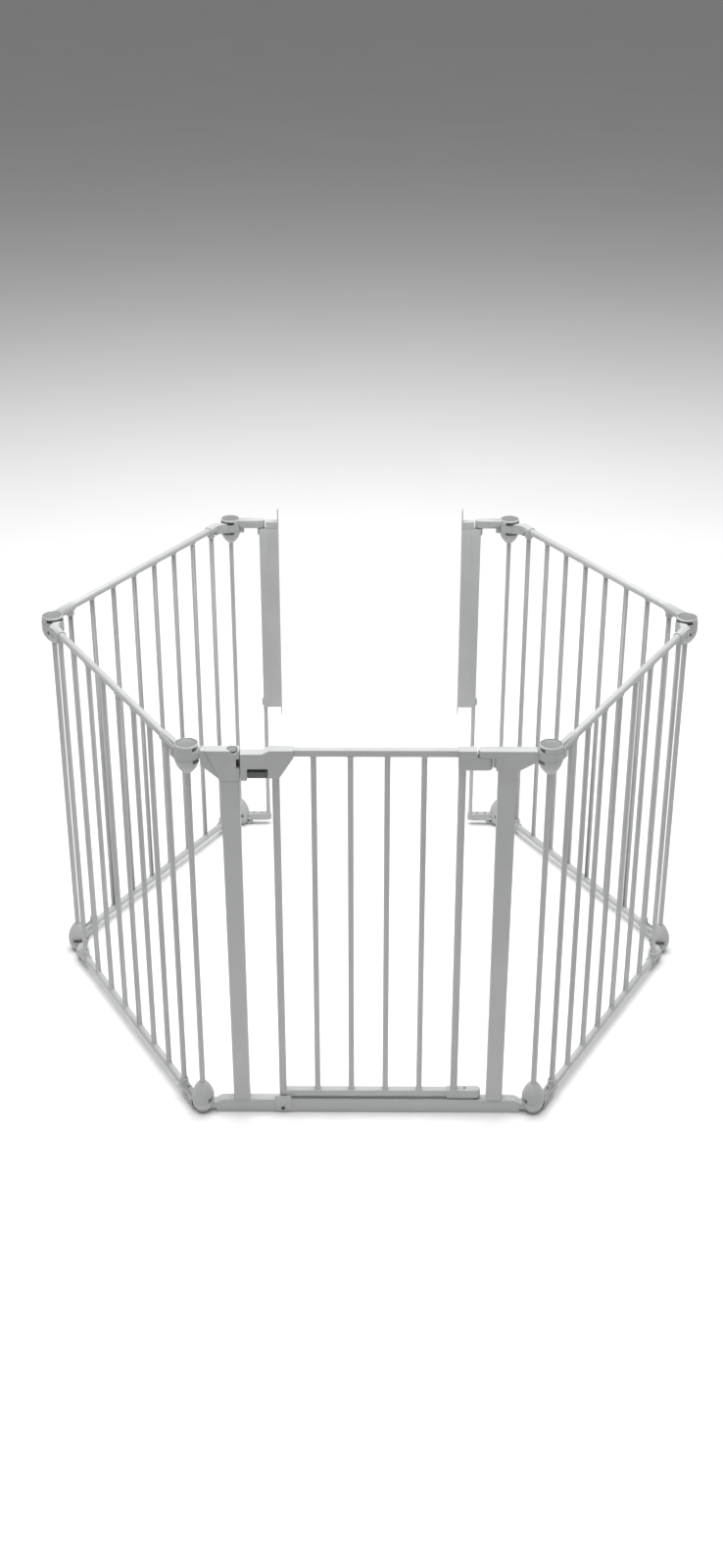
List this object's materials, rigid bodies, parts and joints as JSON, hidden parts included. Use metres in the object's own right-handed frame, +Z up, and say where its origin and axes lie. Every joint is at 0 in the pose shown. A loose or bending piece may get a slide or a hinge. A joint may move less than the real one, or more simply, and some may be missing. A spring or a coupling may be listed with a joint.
{
  "type": "safety baby gate",
  "caption": "Folding hearth gate of barred steel panels hinged at round knuckles, with a self-latching door in the front section and strips that screw to the wall.",
  "frame": {"origin": "on the floor, under the middle of the doorway threshold", "axes": "+Z up; +X to the right along the doorway; +Y away from the front, into the pen"},
  "size_m": [1.2482, 1.1194, 0.77],
  "materials": {
    "painted_steel": "satin powder coat, light silver grey",
    "grey_plastic": "fine matt, matched to the paint",
    "button_plastic": "fine matt, a shade darker",
    "trigger_plastic": "matt, dark grey",
    "plated_steel": "black zinc plated"
  },
  "bodies": {
    "front_frame": {"threshold": "painted_steel", "latch_post": "painted_steel", "hinge_post": "painted_steel", "latch_post_cover": "grey_plastic", "latch_side_lug": "grey_plastic", "hinge_post_cover": "grey_plastic", "catch_plate": "painted_steel", "catch_screw": "plated_steel", "hinge_pins": "plated_steel"},
    "door": {"door_rails": "painted_steel", "door_stiles": "painted_steel", "door_bars": "painted_steel", "latch_housing": "grey_plastic", "door_hinge_blocks": "grey_plastic"},
    "trigger_bar": {"trigger": "trigger_plastic"},
    "latch_bolt_body": {"latch_bolt": "plated_steel"},
    "drop_bolt_body": {"drop_bolt": "plated_steel"},
    "thumb_button_body": {"thumb_button": "button_plastic"},
    "left_front_panel": {"left_front_rails": "painted_steel", "left_front_bars": "painted_steel", "left_front_cup": "grey_plastic", "left_front_foot": "grey_plastic", "left_front_hinge_rod": "painted_steel", "left_front_end_lugs": "grey_plastic"},
    "left_front_button_body": {"left_front_button": "button_plastic"},
    "left_rear_panel": {"left_rear_rails": "painted_steel", "left_rear_bars": "painted_steel", "left_rear_cup": "grey_plastic", "left_rear_foot": "grey_plastic", "left_rear_hinge_rod": "painted_steel", "left_rear_end_lugs": "grey_plastic"},
    "left_rear_button_body": {"left_rear_button": "button_plastic"},
    "left_wall_arm": {"left_wall_cup": "grey_plastic", "left_wall_foot": "grey_plastic", "left_wall_hinge_rod": "painted_steel", "left_wall_rod": "painted_steel"},
    "left_wall_button_body": {"left_wall_button": "button_plastic"},
    "left_wall_strip_body": {"left_wall_strip": "painted_steel", "left_wall_strip_brackets": "painted_steel"},
    "right_front_panel": {"right_front_rails": "painted_steel", "right_front_bars": "painted_steel", "right_front_cup": "grey_plastic", "right_front_foot": "grey_plastic", "right_front_hinge_rod": "painted_steel", "right_front_end_lugs": "grey_plastic"},
    "right_front_button_body": {"right_front_button": "button_plastic"},
    "right_rear_panel": {"right_rear_rails": "painted_steel", "right_rear_bars": "painted_steel", "right_rear_cup": "grey_plastic", "right_rear_foot": "grey_plastic", "right_rear_hinge_rod": "painted_steel", "right_rear_end_lugs": "grey_plastic"},
    "right_rear_button_body": {"right_rear_button": "button_plastic"},
    "right_wall_arm": {"right_wall_cup": "grey_plastic", "right_wall_foot": "grey_plastic", "right_wall_hinge_rod": "painted_steel", "right_wall_rod": "painted_steel"},
    "right_wall_button_body": {"right_wall_button": "button_plastic"},
    "right_wall_strip_body": {"right_wall_strip": "painted_steel", "right_wall_strip_brackets": "painted_steel"}
  },
  "joints": [
    {"name": "door_swing", "type": "hinge", "parent": "front_frame", "child": "door", "pos_m": [0.196, 0, 0.3], "axis": [0, 0, -1], "range_deg": [0, 90]},
    {"name": "trigger_lift", "type": "slide", "parent": "door", "child": "trigger_bar", "axis": [0, 0, 1], "range_m": [0, 0.005], "stiffness_N_per_m": 400, "springref_m": -0.004},
    {"name": "latch_bolt_slide", "type": "slide", "parent": "door", "child": "latch_bolt_body", "axis": [1, 0, 0], "range_m": [0, 0.007]},
    {"name": "drop_bolt_slide", "type": "slide", "parent": "door", "child": "drop_bolt_body", "axis": [0, 0, 1], "range_m": [0, 0.014]},
    {"name": "thumb_button_press", "type": "slide", "parent": "front_frame", "child": "thumb_button_body", "axis": [0, 0, -1], "range_m": [0, 0.003], "stiffness_N_per_m": 300, "springref_m": -0.002},
    {"name": "left_front_hinge", "type": "hinge", "parent": "front_frame", "child": "left_front_panel", "pos_m": [-0.3007, 0, 0.375], "axis": [0, 0, 1], "range_deg": [-30, 60.7]},
    {"name": "left_front_button_press", "type": "slide", "parent": "left_front_panel", "child": "left_front_button_body", "axis": [0, 0, -1], "range_m": [0, 0.004], "stiffness_N_per_m": 300, "springref_m": -0.002},
    {"name": "left_rear_hinge", "type": "hinge", "parent": "left_front_panel", "child": "left_rear_panel", "pos_m": [-0.60289, 0.5385, 0.375], "axis": [0, 0, 1], "range_deg": [-30, 58.6]},
    {"name": "left_rear_button_press", "type": "slide", "parent": "left_rear_panel", "child": "left_rear_button_body", "axis": [0, 0, -1], "range_m": [0, 0.004], "stiffness_N_per_m": 300, "springref_m": -0.002},
    {"name": "left_wall_hinge", "type": "hinge", "parent": "left_rear_panel", "child": "left_wall_arm", "pos_m": [-0.3007, 1.07701, 0.375], "axis": [0, 0, 1], "range_deg": [-30, 60.7]},
    {"name": "left_wall_button_press", "type": "slide", "parent": "left_wall_arm", "child": "left_wall_button_body", "axis": [0, 0, -1], "range_m": [0, 0.004], "stiffness_N_per_m": 300, "springref_m": -0.002},
    {"name": "left_strip_turn", "type": "hinge", "parent": "left_wall_arm", "child": "left_wall_strip_body", "pos_m": [-0.2349, 1.07701, 0.375], "axis": [0, 0, 1], "range_deg": [-10, 90]},
    {"name": "right_front_hinge", "type": "hinge", "parent": "front_frame", "child": "right_front_panel", "pos_m": [0.3007, 0, 0.375], "axis": [0, 0, 1], "range_deg": [-60.7, 30]},
    {"name": "right_front_button_press", "type": "slide", "parent": "right_front_panel", "child": "right_front_button_body", "axis": [0, 0, -1], "range_m": [0, 0.004], "stiffness_N_per_m": 300, "springref_m": -0.002},
    {"name": "right_rear_hinge", "type": "hinge", "parent": "right_front_panel", "child": "right_rear_panel", "pos_m": [0.60289, 0.5385, 0.375], "axis": [0, 0, 1], "range_deg": [-58.6, 30]},
    {"name": "right_rear_button_press", "type": "slide", "parent": "right_rear_panel", "child": "right_rear_button_body", "axis": [0, 0, -1], "range_m": [0, 0.004], "stiffness_N_per_m": 300, "springref_m": -0.002},
    {"name": "right_wall_hinge", "type": "hinge", "parent": "right_rear_panel", "child": "right_wall_arm", "pos_m": [0.3007, 1.07701, 0.375], "axis": [0, 0, 1], "range_deg": [-60.7, 30]},
    {"name": "right_wall_button_press", "type": "slide", "parent": "right_wall_arm", "child": "right_wall_button_body", "axis": [0, 0, -1], "range_m": [0, 0.004], "stiffness_N_per_m": 300, "springref_m": -0.002},
    {"name": "right_strip_turn", "type": "hinge", "parent": "right_wall_arm", "child": "right_wall_strip_body", "pos_m": [0.2349, 1.07701, 0.375], "axis": [0, 0, 1], "range_deg": [-90, 10]}
  ],
  "couplings": [
    {"joint": "latch_bolt_slide", "follows": "trigger_lift", "ratio": 1.4},
    {"joint": "drop_bolt_slide", "follows": "trigger_lift", "ratio": 2.8}
  ]
}
